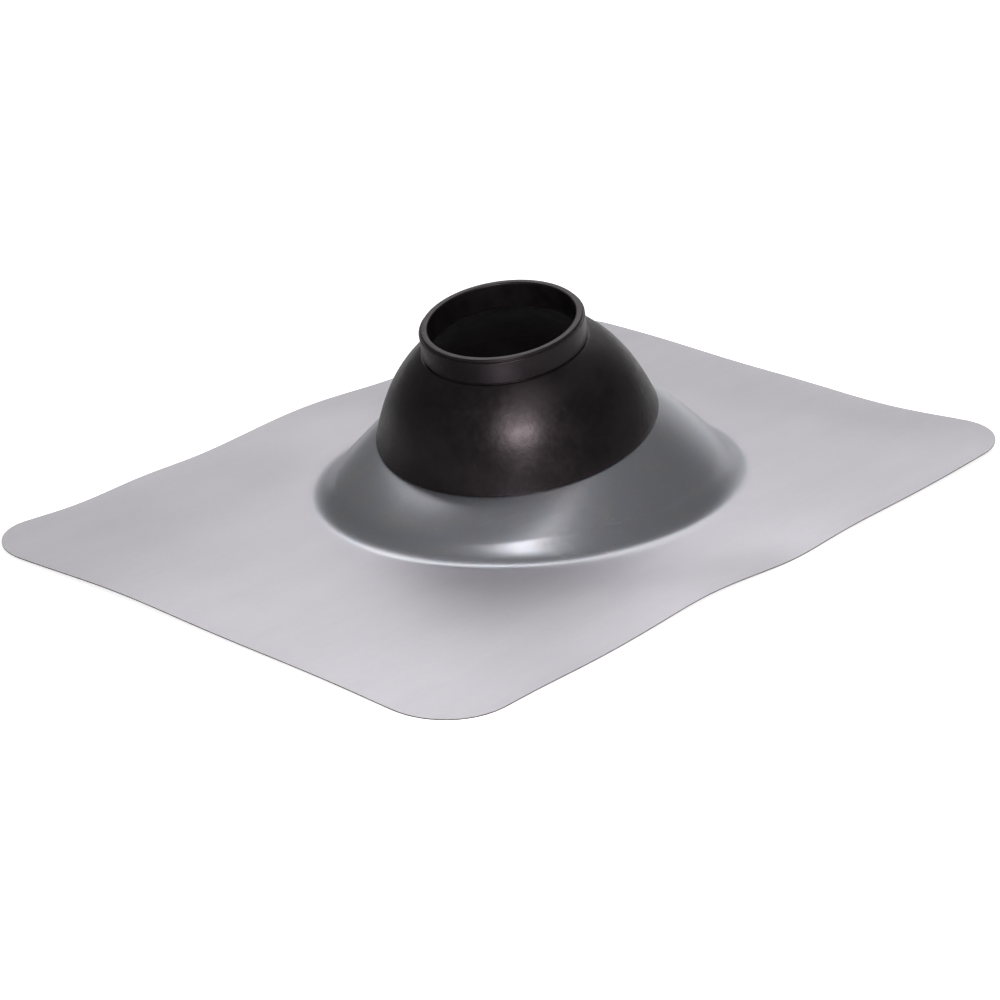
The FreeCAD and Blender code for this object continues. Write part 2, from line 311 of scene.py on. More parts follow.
@dataclass(frozen=True)
class Mottle:
    """Soft cloudy patches: two noises, one finer, stretched along the axes as asked."""

    finer_by: float = 5.0
    broad_share: float = 0.7
    fine_share: float = 0.3
    broad_detail: float = 3.0
    broad_roughness: float = 0.55
    fine_detail: float = 2.0
    fine_roughness: float = 0.5
    none_below: float = 0.3
    full_above: float = 0.7

    def build(self) -> bpy.types.NodeTree:
        """Make the node group.

        Returns:
            The group, whose Patch is a mask from 0 to 1.
        """
        inputs = {"Place": "Vector", "Stretch": "Vector", "Patches per metre": "Float"}
        nodes, given = new_group("mottle", inputs, {"Patch": "Float"})
        place = nodes.stretched(given["Place"], given["Stretch"])
        broad = nodes.noise(place, given["Patches per metre"], Detail=self.broad_detail,
                            Roughness=self.broad_roughness)
        finer = nodes.maths("MULTIPLY", given["Patches per metre"], self.finer_by)
        fine = nodes.noise(place, finer, Detail=self.fine_detail, Roughness=self.fine_roughness)
        small = nodes.maths("MULTIPLY", fine, self.fine_share)
        both = nodes.maths("MULTIPLY_ADD", broad, self.broad_share, small)
        nodes.add("NodeGroupOutput", {"Patch": nodes.ranged(both, self.none_below, self.full_above)})
        return nodes.tree


@dataclass(frozen=True)
class Scratches:
    """Sparse hairline scratches: the narrow crest of a long thin noise, kept only in some patches."""

    stretch: Triple = (1.0, 0.035, 1.0)
    line_detail: float = 1.0
    crest: float = 0.5
    crest_reach: float = 0.012
    patches_per_metre: float = 38.0
    patch_detail: float = 2.0
    none_below: float = 0.54
    full_above: float = 0.68

    def build(self) -> bpy.types.NodeTree:
        """Make the node group.

        Returns:
            The group, whose Scratch is a mask from 0 to 1.
        """
        inputs = {"Place": "Vector", "Turn": "Vector", "Lines per metre": "Float"}
        nodes, given = new_group("scratches", inputs, {"Scratch": "Float"})
        turned = nodes.add("VectorRotate", {"Vector": given["Place"], "Rotation": given["Turn"]},
                           rotation_type="EULER_XYZ").outputs[0]
        drawn_out = nodes.stretched(turned, self.stretch)
        lines = nodes.noise(drawn_out, given["Lines per metre"], Detail=self.line_detail)
        off_crest = nodes.maths("ABSOLUTE", nodes.maths("SUBTRACT", lines, self.crest))
        on_crest = nodes.ranged(off_crest, 0.0, self.crest_reach, 1.0, 0.0)
        patches = nodes.noise(turned, self.patches_per_metre, Detail=self.patch_detail)
        few = nodes.ranged(patches, self.none_below, self.full_above)
        nodes.add("NodeGroupOutput", {"Scratch": nodes.maths("MULTIPLY", on_crest, few)})
        return nodes.tree


class Effects:
    """The shared node groups, each built once."""

    def __init__(self) -> None:
        """Build both groups."""
        self.mottle = Mottle().build()
        self.scratches = Scratches().build()


class Look(Nodes):
    """A material with its own Principled shader, whose patterns read the piece's Object coordinates."""

    def __init__(self, name: str, effects: Effects) -> None:
        """Start the material.

        Args:
            name: its name.
            effects: the shared node groups.
        """
        self.material = bpy.data.materials.new(name)
        self.material.use_nodes = True
        super().__init__(self.material.node_tree)
        self.effects = effects
        self.shader = self.add("BsdfPrincipled")
        self.add("OutputMaterial", {"Surface": self.shader.outputs[0]})
        self.place = self.add("TexCoord").outputs["Object"]

    def patches(self, per_metre: float, stretch: Triple = (1.0, 1.0, 1.0)) -> Socket:
        """Place the mottle group and return its mask, from 0 to 1."""
        inputs = {"Place": self.place, "Stretch": stretch, "Patches per metre": per_metre}
        return self.add("Group", inputs, node_tree=self.effects.mottle).outputs[0]

    def hairlines(self, per_metre: float, turn: Triple) -> Socket:
        """Place the scratches group and return its mask, from 0 to 1."""
        inputs = {"Place": self.place, "Turn": turn, "Lines per metre": per_metre}
        return self.add("Group", inputs, node_tree=self.effects.scratches).outputs[0]

    def bump(self, height: Socket, strength: float, reach: float) -> Socket:
        """The normal of a surface raised by a height of up to this reach, in metres."""
        return self.add("Bump", {"Height": height, "Strength": strength, "Distance": reach}).outputs[0]


@dataclass(frozen=True)
class ZincFinish:
    """Pale galvanised sheet, satin, with faint rolling streaks; the pressed cone is smoother, blotched, bluer
    and darkened as painted shade.
    """

    pale: Colour = (0.555, 0.539, 0.573, 1.0)
    dull: Colour = (0.50, 0.488, 0.52, 1.0)
    # Painted shade: the cone's colour is the flat's made darker, standing for the dim room that the cone
    # mirrors, and also bluer.
    shaded_cone: Colour = (0.455, 0.48, 0.535, 1.0)
    bright: Colour = (0.80, 0.79, 0.80, 1.0)
    metallic: float = 0.92
    roughness: float = 0.48
    drawn_roughness: float = 0.29
    rough_spread: float = 0.05
    roll_stretch: Triple = (0.12, 1.0, 1.0)
    streaks_per_metre: float = 60.0
    streak_share: float = 0.45
    clouds_per_metre: float = 9.0
    cloud_share: float = 0.4
    blotches_per_metre: float = 75.0
    grains_per_metre: float = 420.0
    flat_grain: float = 0.25
    hairs_per_metre: float = 800.0
    scratch_turns: tuple[Triple, Triple] = ((-0.34, 0.0, -0.28), (0.52, 0.0, -1.0))
    scratch_share: float = 0.7
    scratch_depth: float = 0.8
    bump_strength: float = 0.25
    bump_height: float = 0.05 * MM

    def build(self, effects: Effects) -> bpy.types.Material:
        """Make the material. It reads the sheet's own attribute cone_share, 1 on the cone.

        Args:
            effects: the shared node groups.

        Returns:
            The material.
        """
        look = Look("galvanised_sheet", effects)
        share = look.add("Attribute", attribute_name="cone_share").outputs["Fac"]
        grain = look.patches(self.grains_per_metre)
        rough = look.ranged(share, 0.0, 1.0, self.roughness, self.drawn_roughness)
        hairs = [look.hairlines(self.hairs_per_metre, turn) for turn in self.scratch_turns]
        hair = look.maths("MAXIMUM", *hairs)
        look.dress(look.shader, {
            "Metallic": self.metallic,
            "Base Color": self.colour(look, share, hair),
            "Roughness": look.maths("MULTIPLY_ADD", grain, self.rough_spread, rough),
            "Normal": self.relief(look, share, grain, hair),
        })
        return look.material

    def colour(self, look: Look, share: Socket, hair: Socket) -> Socket:
        """Streaks and broad clouds on the flat; on the cone, blotches and bright scratches over a bluer
        colour darkened as painted shade.

        Args:
            look: the material.
            share: 1 on the cone and 0 on the flange.
            hair: the scratches' mask.

        Returns:
            The sheet's colour.
        """
        streak = look.maths("MULTIPLY", look.patches(self.streaks_per_metre, self.roll_stretch),
                            self.streak_share)
        cloud = look.maths("MULTIPLY", look.patches(self.clouds_per_metre), self.cloud_share)
        clouded = look.blended(cloud, look.blended(streak, self.pale, self.dull), self.dull)
        # The cone's bluer colour, darkened as painted shade, blotched with the dull colour.
        shaded_cone = look.blended(look.patches(self.blotches_per_metre), self.shaded_cone, self.dull)
        scored = look.blended(look.maths("MULTIPLY", hair, self.scratch_share), shaded_cone, self.bright)
        return look.blended(share, clouded, scored)

    def relief(self, look: Look, share: Socket, grain: Socket, hair: Socket) -> Socket:
        """Fine grain, weaker on the flat, with hairline scratches cut into it.

        Args:
            look: the material.
            share: 1 on the cone and 0 on the flange.
            grain: the grain's mask.
            hair: the scratches' mask.

        Returns:
            The surface's normal.
        """
        height = look.maths("MULTIPLY", grain, look.ranged(share, 0.0, 1.0, self.flat_grain, 1.0))
        scored = look.maths("SUBTRACT", height, look.maths("MULTIPLY", hair, self.scratch_depth))
        return look.bump(scored, self.bump_strength, self.bump_height)


@dataclass(frozen=True)
class CutEdgeFinish:
    """The sheet's sheared edge: bare steel under the zinc, dull and slightly brown."""

    steel: Colour = (0.20, 0.18, 0.17, 1.0)
    rust: Colour = (0.10, 0.075, 0.06, 1.0)
    metallic: float = 0.8
    roughness: float = 0.55
    patches_per_metre: float = 120.0

    def build(self, effects: Effects) -> bpy.types.Material:
        """Make the material.

        Args:
            effects: the shared node groups.

        Returns:
            The material.
        """
        look = Look("cut_edge", effects)
        look.dress(look.shader, {
            "Base Color": look.blended(look.patches(self.patches_per_metre), self.steel, self.rust),
            "Metallic": self.metallic,
            "Roughness": self.roughness,
        })
        return look.material


@dataclass(frozen=True)
class RubberFinish:
    """Moulded black rubber: semi-matte, with a faint bloom in patches and a fine uneven skin."""

    black: Colour = (0.0035, 0.003, 0.0033, 1.0)
    bloom: Colour = (0.007, 0.006, 0.0066, 1.0)
    roughness: float = 0.38
    rough_spread: float = 0.05
    gloss: float = 0.32
    glint: Colour = (1.0, 0.83, 0.88, 1.0)
    clouds_per_metre: float = 45.0
    cloud_relief: float = 6.0
    skin_per_metre: float = 300.0
    bump_strength: float = 0.22
    bump_height: float = 0.07 * MM

    def build(self, effects: Effects) -> bpy.types.Material:
        """Make the material. Where it blooms, it is also a little rougher and stands a little proud.

        Args:
            effects: the shared node groups.

        Returns:
            The material.
        """
        look = Look("boot_rubber", effects)
        cloud, skin = look.patches(self.clouds_per_metre), look.patches(self.skin_per_metre)
        uneven = look.maths("MULTIPLY_ADD", cloud, self.cloud_relief, skin)
        smooth, rough = self.roughness - self.rough_spread, self.roughness + self.rough_spread
        look.dress(look.shader, {
            "Base Color": look.blended(cloud, self.black, self.bloom),
            "Roughness": look.ranged(cloud, 0.0, 1.0, smooth, rough),
            "Specular IOR Level": self.gloss,
            "Specular Tint": self.glint,
            "Normal": look.bump(uneven, self.bump_strength, self.bump_height),
        })
        return look.material


# ---- The two pieces ----


@dataclass(frozen=True)
class Rim:
    """The leaning round rim of the cone, where sheet and rubber meet.

    Above the rim's plane stands the collar, which narrows by its slope for each unit of its height.
    """

    radius: float = 77.4 * MM
    height: float = 41.0 * MM
    shift: float = 1.5 * MM
    tilt: float = math.radians(12.0)
    sheet_thickness: float = 0.6 * MM
    collar_height: float = 6.0 * MM
    collar_slope: float = 0.34

    @property
    def axis(self) -> np.ndarray:
        """The boot's own upward axis."""
        return np.array([-math.sin(self.tilt), 0.0, math.cos(self.tilt)])

    @property
    def level(self) -> np.ndarray:
        """The direction in the rim's plane that points to the eave."""
        return np.array([math.cos(self.tilt), 0.0, math.sin(self.tilt)])

    @property
    def collar_wall(self) -> float:
        """The sloping collar's thickness, measured square to the axis."""
        return self.sheet_thickness * math.hypot(1.0, self.collar_slope)

    def points(self, radius: np.ndarray, angle: np.ndarray, height: np.ndarray, ground: float) -> np.ndarray:
        """Points about the axis: centre + radius (cos level + sin Y) + height axis.

        Args:
            radius: distance from the axis.
            angle: angle round it, from the eave side towards +Y.
            height: distance along it from the rim's plane.
            ground: height of the flange's flat.

        Returns:
            An array with x, y, z along its last axis.
        """
        radius, angle, height = np.broadcast_arrays(radius, angle, height)
        centre = np.array([self.shift, 0.0, self.height + ground])
        across = (radius * np.cos(angle))[..., None] * self.level
        back = (radius * np.sin(angle))[..., None] * np.array([0.0, 1.0, 0.0])
        return centre + across + back + height[..., None] * self.axis


@dataclass(frozen=True)
class Bend:
    """One place where the thin flange stands off the flat.

    Its place is given as shares of the sheet's half length and half width, its rise and how far it
    spreads in millimetres.
    """

    along: float
    across: float
    rise: float
    spread_along: float
    spread_across: float


BENDS = {
    "ridge_front_corner": Bend(-1.0, -1.0, -4.5, 70.0, 70.0),
    "front_dip": Bend(-0.56, -1.0, -2.5, 50.0, 60.0),
    "front_wave": Bend(-0.2, -1.0, 2.0, 35.0, 50.0),
    "front_hollow": Bend(0.12, -1.0, -3.0, 35.0, 50.0),
    "eave_front_corner": Bend(1.0, -1.0, 4.5, 70.0, 70.0),
    "eave_dip": Bend(1.0, -0.43, -3.5, 40.0, 60.0),
    "eave_hollow": Bend(1.0, 0.17, -2.5, 50.0, 60.0),
    "eave_back_corner": Bend(1.0, 1.0, -2.0, 60.0, 70.0),
    "back_hollow": Bend(0.38, 1.0, -3.0, 45.0, 60.0),
    "back_wave": Bend(0.04, 1.0, 1.5, 40.0, 60.0),
    "back_dip": Bend(-0.32, 1.0, -3.0, 45.0, 60.0),
    "back_low": Bend(-0.68, 1.0, -4.0, 45.0, 60.0),
    "ridge_bow": Bend(-1.0, 0.34, 3.0, 60.0, 60.0),
}


@dataclass
class BaseSheet:
    """The galvanised base: collar, cone and flange as one sheet.

    Each column of the surface starts at the collar's edge and follows a cubic spline down the wall and
    round the foot, then runs straight out to the blank's outline.

    The collar's rings are given as shares of its height. Each ring of the wall is given as its way down
    from the shoulder to the foot and its share of the wall's swell. Sizes of ovals are shares of the foot's
    own: the bends come in over bend_fade past it, and the cone's finish, smoother and with a colour darkened
    as painted shade, goes over drawn_fade past drawn_reach.
    """

    rim: Rim
    ground: float
    length: float
    width: float
    corner: float = 40.0 * MM
    foot_long: float = 131.0 * MM
    foot_wide: float = 108.0 * MM
    foot_shift: float = 15.5 * MM
    foot_radius: float = 20.0 * MM
    flange_radius: float = 14.0 * MM
    wall_swell: float = 2.3 * MM
    shoulder_reach: float = 1.8 * MM
    shoulder_drop: float = 1.8 * MM
    bend_fade: float = 0.5
    drawn_reach: float = 1.01
    drawn_fade: float = 0.06
    columns: int = 432
    wall_rows: int = 64
    flange_rows: int = 40
    collar_rings: tuple[float, ...] = (1.0, 0.6, 0.2, -0.2)
    wall_rings: tuple[tuple[float, float], ...] = ((0.12, 0.45), (0.38, 0.95), (0.68, 1.0))

    def oval(self, x: np.ndarray, y: np.ndarray) -> np.ndarray:
        """Size of the oval through each place, as a share of the foot's own oval."""
        return np.hypot((x - self.foot_shift) / self.foot_long, y / self.foot_wide)

    def outline_reach(self, heading: np.ndarray) -> np.ndarray:
        """Distance from the sheet's centre to its outline, a rectangle with round corners.

        A ray ends on the nearer side, or, where it meets one past the start of a corner, at the far
        crossing of the ray and the corner's circle.

        Args:
            heading: direction of each ray, in radians from +X.

        Returns:
            The distance along each ray.
        """
        c, s = np.abs(np.cos(heading)), np.abs(np.sin(heading))
        side = np.minimum(self.length / 2 / np.maximum(c, TINY), self.width / 2 / np.maximum(s, TINY))
        centre_x, centre_y = self.length / 2 - self.corner, self.width / 2 - self.corner
        along = c * centre_x + s * centre_y
        inside = along ** 2 - centre_x ** 2 - centre_y ** 2 + self.corner ** 2
        arc = along + np.sqrt(np.maximum(inside, 0.0))
        in_corner = (side * c > centre_x) & (side * s > centre_y)
        return np.where(in_corner, arc, side)

    def bend_rise(self, x: np.ndarray, y: np.ndarray) -> np.ndarray:
        """Height of the flange above the flat: the sum of bell-shaped bends, faded out towards the foot.

        Args:
            x: place along the sheet.
            y: place across it.

        Returns:
            The rise at each place, and none inside the foot.
        """
        rise = np.zeros_like(x)
        for bend in BENDS.values():
            off_x = (x - bend.along * self.length / 2) / (bend.spread_along * MM)
            off_y = (y - bend.across * self.width / 2) / (bend.spread_across * MM)
            rise += bend.rise * MM * np.exp(-off_x ** 2 - off_y ** 2)
        return rise * smooth_step((self.oval(x, y) - 1.0) / self.bend_fade)

    def collar_and_shoulder(self, angle: np.ndarray) -> list[np.ndarray]:
        """Control points of the leaning part, from the collar's edge down to the shoulder.

        Args:
            angle: each column's angle.

        Returns:
            The rings of control points.
        """
        places = [(self.rim.radius - self.rim.collar_slope * height, height)
                  for height in (self.rim.collar_height * share for share in self.collar_rings)]
        places.append((self.rim.radius + self.shoulder_reach, -self.shoulder_drop))
        return [self.rim.points(np.array(radius), angle, np.array(height), self.ground)
                for radius, height in places]

    def wall(self, angle: np.ndarray) -> np.ndarray:
        """The collar, shoulder, wall and foot: a cubic spline down each column, led by its control points.

        Those of the wall stand proud of the straight line from the shoulder to the foot. The last five
        lie on the flange, so a column is straight from the place of the first of them, and ends there.

        Args:
            angle: each column's angle.

        Returns:
            Points as rows by columns by 3, down to where the flange is flat.
        """
        cos, sin = np.cos(angle), np.sin(angle)
        flat = np.full_like(cos, self.ground)
        foot = np.stack([self.foot_shift + self.foot_long * cos, self.foot_wide * sin, flat], axis=-1)
        outward = unit(np.stack([cos / self.foot_long, sin / self.foot_wide, np.zeros_like(cos)], axis=-1))
        poles = self.collar_and_shoulder(angle)
        shoulder = poles[-1]
        rise = unit(shoulder - foot)
        proud = unit(np.cross(np.cross(rise, outward), rise))
        for way, fullness in self.wall_rings:
            poles.append(shoulder + (foot - shoulder) * way + proud * self.wall_swell * fullness)
        poles += self.foot_poles(foot, unit(poles[-1] - foot), outward)
        start, edge = poles[-1], self.edge_points(foot)
        poles += [start + (edge - start) / 3, start + (edge - start) * 2 / 3, edge]
        flat_poles = 5
        places = np.linspace(0.0, float(len(poles) - flat_poles), self.wall_rows)
        return np.einsum("rp,pcd->rcd", cubic_weights(len(poles), places), np.stack(poles))

    def foot_poles(self, foot: np.ndarray, rise: np.ndarray, outward: np.ndarray) -> list[np.ndarray]:
        """Control points of the round at the foot, from the wall to the flange.

        Three corners that each turn by a third of the whole angle t, one step apart, make a cubic spline
        of nearly even curvature. Of radius r, it takes steps of 2/3 r tan(t / 2). The round is wider on
        the wall, where foot_radius is r, than on the flange, where flange_radius is.

        Args:
            foot: where wall and flange would meet.
            rise: unit direction up the wall from there.
            outward: unit direction along the flange from there.

        Returns:
            Five rings of control points.
        """
        cosine = -np.sum(rise * outward, axis=-1, keepdims=True)
        half_turn = np.sqrt((1.0 - cosine) / (1.0 + cosine))
        up = rise * self.foot_radius * 2 / 3 * half_turn
        out = outward * self.flange_radius * 2 / 3 * half_turn
        return [foot + up * 2, foot + up, foot + (up + out) / 3, foot + out, foot + out * 2]

    def edge_points(self, foot: np.ndarray) -> np.ndarray:
        """Points of the outline, at the flat's height.

        Args:
            foot: points whose directions from the sheet's centre are taken.

        Returns:
            One point of the outline in each direction.
        """
        heading = np.arctan2(foot[..., 1], foot[..., 0])
        reach = self.outline_reach(heading)
        flat = np.full_like(reach, self.ground)
        return np.stack([reach * np.cos(heading), reach * np.sin(heading), flat], axis=-1)

    def upper_surface(self) -> np.ndarray:
        """The sheet's upper side: the wall, then straight lines out to the outline, then the bends.

        The bends are scaled so that the lowest point of the sheet's underside is at height zero.

        Returns:
            Points as rows by columns by 3, from the collar's edge outwards.
        """
        angle = np.linspace(0.0, 2 * math.pi, self.columns, endpoint=False)
        wall = self.wall(angle)
        share = np.linspace(0.0, 1.0, self.flange_rows + 1)[1:, None, None]
        edge = self.edge_points(wall[-1])
        surface = np.concatenate([wall, wall[-1] + (edge - wall[-1]) * share])
        rise = self.bend_rise(surface[..., 0], surface[..., 1])
        clear = self.ground - self.rim.sheet_thickness
        surface[..., 2] += rise * clear / -rise.min()
        return surface

    def shell(self, upper: np.ndarray) -> tuple[np.ndarray, np.ndarray, np.ndarray, np.ndarray]:
        """The closed sheet: its upper side, an underside one thickness in, and the two cut edges.

        The underside lies square to the surface, and plumb below it along the outline.

        Args:
            upper: points of the upper side.

        Returns:
            The points, the faces, each face's finish, and the crease line that each point lies on.
        """
        around = np.roll(upper, -1, axis=1) - np.roll(upper, 1, axis=1)
        normal = unit(np.cross(np.gradient(upper, axis=0), around))
        normal[-1] = (0.0, 0.0, 1.0)
        lower = upper - normal * self.rim.sheet_thickness
        rows, columns = upper.shape[:2]
        count = rows * columns
        top = grid_quads(rows, columns, Loop.OPEN)
        underside = grid_quads(rows, columns, Loop.OPEN, count)[:, ::-1]
        ring = np.arange(columns)
        beside = (ring + 1) % columns
        outer = (rows - 1) * columns
        cut = outer + np.stack([ring, ring + count, beside + count, beside], axis=-1)
        collar_edge = np.stack([ring + count, ring, beside, beside + count], axis=-1)
        quads = np.concatenate([top, underside, cut, collar_edge])
        faces = np.full(len(quads), SheetFace.ZINC)
        faces[len(top) + len(underside):] = SheetFace.CUT_EDGE
        creases = np.full(count * 2, -1)
        for line, first in enumerate((0, outer, count, count + outer)):
            creases[first:first + columns] = line
        return np.concatenate([upper.reshape(-1, 3), lower.reshape(-1, 3)]), quads, faces, creases

    def mark_drawn(self, piece: bpy.types.Object, upper: np.ndarray) -> None:
        """Store cone_share on the points: 1 on the wall that the press drew, fading out at the foot.

        Args:
            piece: the sheet.
            upper: points of its upper side, which come first and then again below.
        """
        past = self.oval(upper[..., 0], upper[..., 1]) - self.drawn_reach
        share = 1.0 - smooth_step(past / self.drawn_fade)
        values = np.tile(share.ravel(), 2).astype(np.float32)
        piece.data.attributes.new("cone_share", "FLOAT", "POINT").data.foreach_set("value", values)

    def build(self, effects: Effects) -> bpy.types.Object:
        """Build the sheet, dress it and put it in the CAD node's place.

        Args:
            effects: the shared node groups.

        Returns:
            The piece.
        """
        upper = self.upper_surface()
        piece = make_piece("galvanised_base", *self.shell(upper))
        self.mark_drawn(piece, upper)
        piece.data.materials.append(ZincFinish().build(effects))
        piece.data.materials.append(CutEdgeFinish().build(effects))
        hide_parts("base_sheet")
        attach(piece, BODY)
        return piece


@dataclass(frozen=True)
class Corner:
    """A corner of the rubber's section, as radius + i height, with its rounding and the side after it.

    That side is straight where its bow is 0. Otherwise it is an arc of that radius, which turns left on
    the way round where the bow is positive, and right where it is negative.
    """

    spot: complex
    rounding: float = 0.0
    bow: float = 0.0


@dataclass(frozen=True)
class Side:
    """One side of the section, from a corner to the next one."""

    first: complex
    last: complex
    bow: float

    @property
    def pivot(self) -> complex:
        """The centre of an arc: off the chord's middle, square to it, on the side that the bow says."""
        chord = self.last - self.first
        off = math.sqrt(self.bow ** 2 - (abs(chord) / 2) ** 2)
        return (self.first + self.last) / 2 + 1j * chord / abs(chord) * math.copysign(off, self.bow)

    def heading(self, spot: complex) -> complex:
        """The way along this side at one of its points: along it, or square to the arc's arm there.

        Args:
            spot: the point.

        Returns:
            A direction of length one.
        """
        if not self.bow:
            return (self.last - self.first) / abs(self.last - self.first)
        return 1j * (spot - self.pivot) / self.bow

    def between(self, cut_first: float, cut_last: float) -> np.ndarray:
        """Points inside an arc, about a degree apart.

        Args:
            cut_first: length that the first corner's rounding takes off.
            cut_last: length that the last corner's rounding takes off.

        Returns:
            The points, and none for a straight side.
        """
        if not self.bow:
            return np.empty(0, dtype=complex)
        arm = self.first - self.pivot
        swing = float(np.angle((self.last - self.pivot) / arm))
        count = math.ceil(math.degrees(abs(swing))) + 1
        turns = np.linspace(cut_first / self.bow, swing - cut_last / self.bow, count)[1:-1]
        return self.pivot + arm * np.exp(1j * turns)


@dataclass
class RubberBoot:
    """The moulded boot: a closed section turned about its leaning axis.

    Heights run along the axis from the rim's plane, and the dome's centre lies dome_sink below that plane.
    """

    rim: Rim
    skirt_height: float = 20.0 * MM
    skirt_edge: float = 2.2 * MM
    skirt_drop: float = 1.2 * MM
    inner_lip: float = 2.0 * MM
    inner_height: float = 13.1 * MM
    dome_radius: float = 79.54 * MM
    dome_sink: float = 14.85 * MM
    dome_wall: float = 3.5 * MM
    neck_top: float = 64.2 * MM
    neck_wall: float = 4.95 * MM
    neck_bore: float = 41.25 * MM
    lip_width: float = 3.8 * MM
    lip_step: float = 1.6 * MM
    root_groove: float = 0.9 * MM
    clearance: float = 0.3 * MM
    edge_round: float = 0.4 * MM
    lip_round: float = 0.7 * MM
    bore_round: float = 0.9 * MM
    columns: int = 384
    corner_steps: int = 6

    @property
    def lead(self) -> float:
        """Radius of the rubber inside the collar, at its foot."""
        return self.rim.radius - self.rim.collar_wall - self.clearance

    def flange_level(self, lowest: float) -> float:
        """Height of the flange's flat, from the rubber's lowest point.

        The rubber reaches lowest on the ridge side, at the inner wall of its groove.

        Args:
            lowest: height of that point.

        Returns:
            The flat's height.
        """
        below = self.lead * math.sin(self.rim.tilt) + self.inner_lip * math.cos(self.rim.tilt)
        return lowest + below - self.rim.height

    def on_dome(self, depth: float, height: float) -> complex:
        """The point of the dome's outside, or of a sphere that deep inside it, at this height."""
        return complex(math.sqrt((self.dome_radius - depth) ** 2 - (height + self.dome_sink) ** 2), height)

    def section(self) -> list[Corner]:
        """Corners of the section.

        The skirt is the arc from the foot that meets the dome in the dome's own direction: its radius is
        the chord over twice the sine of the angle between the chord and that direction.

        Returns:
            The corners, anticlockwise from the skirt's outer foot.
        """
        mouth = self.rim.radius + self.clearance
        foot = complex(mouth + self.skirt_edge, -self.skirt_drop)
        join = self.on_dome(0.0, self.skirt_height)
        onward = 1j * (join + 1j * self.dome_sink)
        chord = join - foot
        skirt_bow = abs(chord) / 2 / math.sin(np.angle(onward / chord))
        bore, neck = self.neck_bore, self.neck_bore + self.neck_wall
        lip, step = self.neck_bore + self.lip_width, self.neck_top - self.lip_step
        brink = math.sqrt(self.dome_radius ** 2 - (neck + self.root_groove) ** 2) - self.dome_sink
        inner = self.dome_radius - self.dome_wall
        root = math.sqrt(inner ** 2 - bore ** 2) - self.dome_sink
        groove = self.rim.collar_height + self.clearance
        lean = self.rim.collar_slope * groove
        fine, small = self.edge_round / 2, self.edge_round
        return [
            Corner(foot, small, skirt_bow),
            Corner(join, 0.0, self.dome_radius),
            Corner(complex(neck + self.root_groove, brink), small),
            Corner(complex(neck - self.root_groove, brink), fine),
            Corner(complex(neck, brink + self.root_groove), small),
            Corner(complex(neck, step), small),
            Corner(complex(lip, step), fine),
            Corner(complex(lip, self.neck_top), self.lip_round),
            Corner(complex(bore, self.neck_top), self.bore_round),
            Corner(complex(bore, root), self.bore_round, -inner),
            Corner(self.on_dome(self.dome_wall, self.inner_height), self.inner_lip),
            Corner(complex(self.lead - self.inner_lip, -self.inner_lip), small),
            Corner(complex(self.lead, -self.inner_lip), small),
            Corner(complex(self.lead - lean, groove)),
            Corner(complex(mouth - lean, groove)),
            Corner(complex(mouth, 0.0), fine),
            Corner(complex(mouth + self.skirt_edge / 3, -self.skirt_drop), fine),
        ]

    def outline(self) -> np.ndarray:
        """The section's outline, with its corners rounded.

        A corner between two headings that turn by t is rounded by an arc that leaves each side
        radius * tan(t / 2) from the corner.

        Returns:
            Points as radius + i height, once round.
        """
        corners = self.section()
        sides = [Side(corner.spot, after.spot, corner.bow)
                 for corner, after in zip(corners, corners[1:] + corners[:1])]
        into = [sides[k - 1].heading(corner.spot) for k, corner in enumerate(corners)]
        bends = [float(np.angle(side.heading(corner.spot) / way))
                 for corner, side, way in zip(corners, sides, into)]
        cuts = [corner.rounding * math.tan(abs(bend) / 2) for corner, bend in zip(corners, bends)]
        pieces = []
        for k, corner in enumerate(corners):
            arm = -1j * into[k] * math.copysign(corner.rounding, bends[k])
            first = corner.spot - into[k] * cuts[k]
            swing = np.linspace(0.0, bends[k], self.corner_steps if corner.rounding else 1)
            pieces.append(first - arm + arm * np.exp(1j * swing))
            pieces.append(sides[k].between(cuts[k], cuts[(k + 1) % len(corners)]))
        return np.concatenate(pieces)

    def build(self, effects: Effects, ground: float) -> bpy.types.Object:
        """Turn the section about the axis, dress the rubber and put it in the CAD node's place.

        Args:
            effects: the shared node groups.
            ground: height of the flange's flat.

        Returns:
            The piece.
        """
        outline = self.outline()
        angle = np.linspace(0.0, 2 * math.pi, self.columns, endpoint=False)[None, :]
        points = self.rim.points(outline.real[:, None], angle, outline.imag[:, None], ground)
        quads = grid_quads(len(outline), self.columns, Loop.CLOSED)[:, ::-1]
        piece = make_piece("moulded_boot", points.reshape(-1, 3), quads)
        piece.data.materials.append(RubberFinish().build(effects))
        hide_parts("rubber_boot")
        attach(piece, BODY)
        return piece


# ---- Floor, room, light and camera ----


def direction(azimuth: float, elevation: float) -> np.ndarray:
    """Unit vector from the object towards a viewer; azimuth 0 stands at -Y and looks along +Y."""
    turn, lift = math.radians(azimuth), math.radians(elevation)
    return np.array([math.sin(turn) * math.cos(lift), -math.cos(turn) * math.cos(lift), math.sin(lift)])


def reflected(nodes: Nodes, seen: bpy.types.Node) -> Socket:
    """One for a ray that metal or glass sends on, by the Light Path node, and else zero."""
    return nodes.maths("MAXIMUM", seen.outputs["Is Glossy Ray"], seen.outputs["Is Transmission Ray"])


